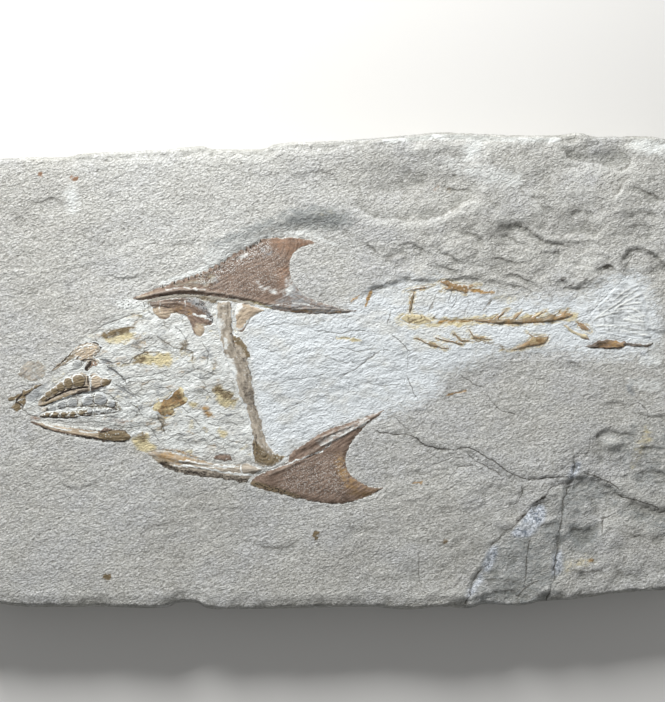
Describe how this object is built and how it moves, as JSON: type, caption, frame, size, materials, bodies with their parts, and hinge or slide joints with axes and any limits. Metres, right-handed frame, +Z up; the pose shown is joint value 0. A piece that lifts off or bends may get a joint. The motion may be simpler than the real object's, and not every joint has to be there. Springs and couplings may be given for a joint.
{
  "type": "fossil fish slab",
  "caption": "Fossil of an armoured fish with two swept, pointed fins, laid bare on the split face of a pale limestone slab that lies on its flat back.",
  "frame": {"origin": "middle of the flat back, on the surface that the slab lies on", "axes": "+X from the fish's snout to its tail, +Y across the slab towards the upper fin in the plan view, +Z up out of the split face"},
  "size_m": [0.2673, 0.173, 0.0222],
  "materials": {
    "limestone": "matt, fine grained",
    "bone_brown": "matt with a faint sheen",
    "bone_grey": "matt",
    "bone_amber": "matt with a faint sheen",
    "bone_pale": "matt",
    "tooth": "satin"
  },
  "bodies": {
    "root": {"slab": "limestone", "upper_fin": "bone_brown", "lower_fin": "bone_brown", "lower_arm": "bone_grey", "girdle": "bone_grey", "upper_cheek": "bone_brown", "rear_cheek": "bone_brown", "small_plate": "bone_brown", "lower_jaw": "bone_brown", "upper_jaw": "bone_grey", "lower_teeth": "tooth", "snout": "bone_amber", "snout_plate": "bone_grey", "brow": "bone_grey", "gill_plate": "bone_amber", "front_back_plate": "bone_amber", "rear_back_plate": "bone_amber", "vertebrae": "bone_grey", "backbone": "bone_amber", "neck_strut": "bone_amber", "front_rib": "bone_amber", "middle_rib": "bone_amber", "rear_rib": "bone_amber", "last_rib": "bone_amber", "belly_spine": "bone_amber", "tail_spine": "bone_brown", "tail_base": "bone_brown", "tail_fan_root": "bone_amber", "tail_fin": "bone_pale"}
  },
  "joints": []
}
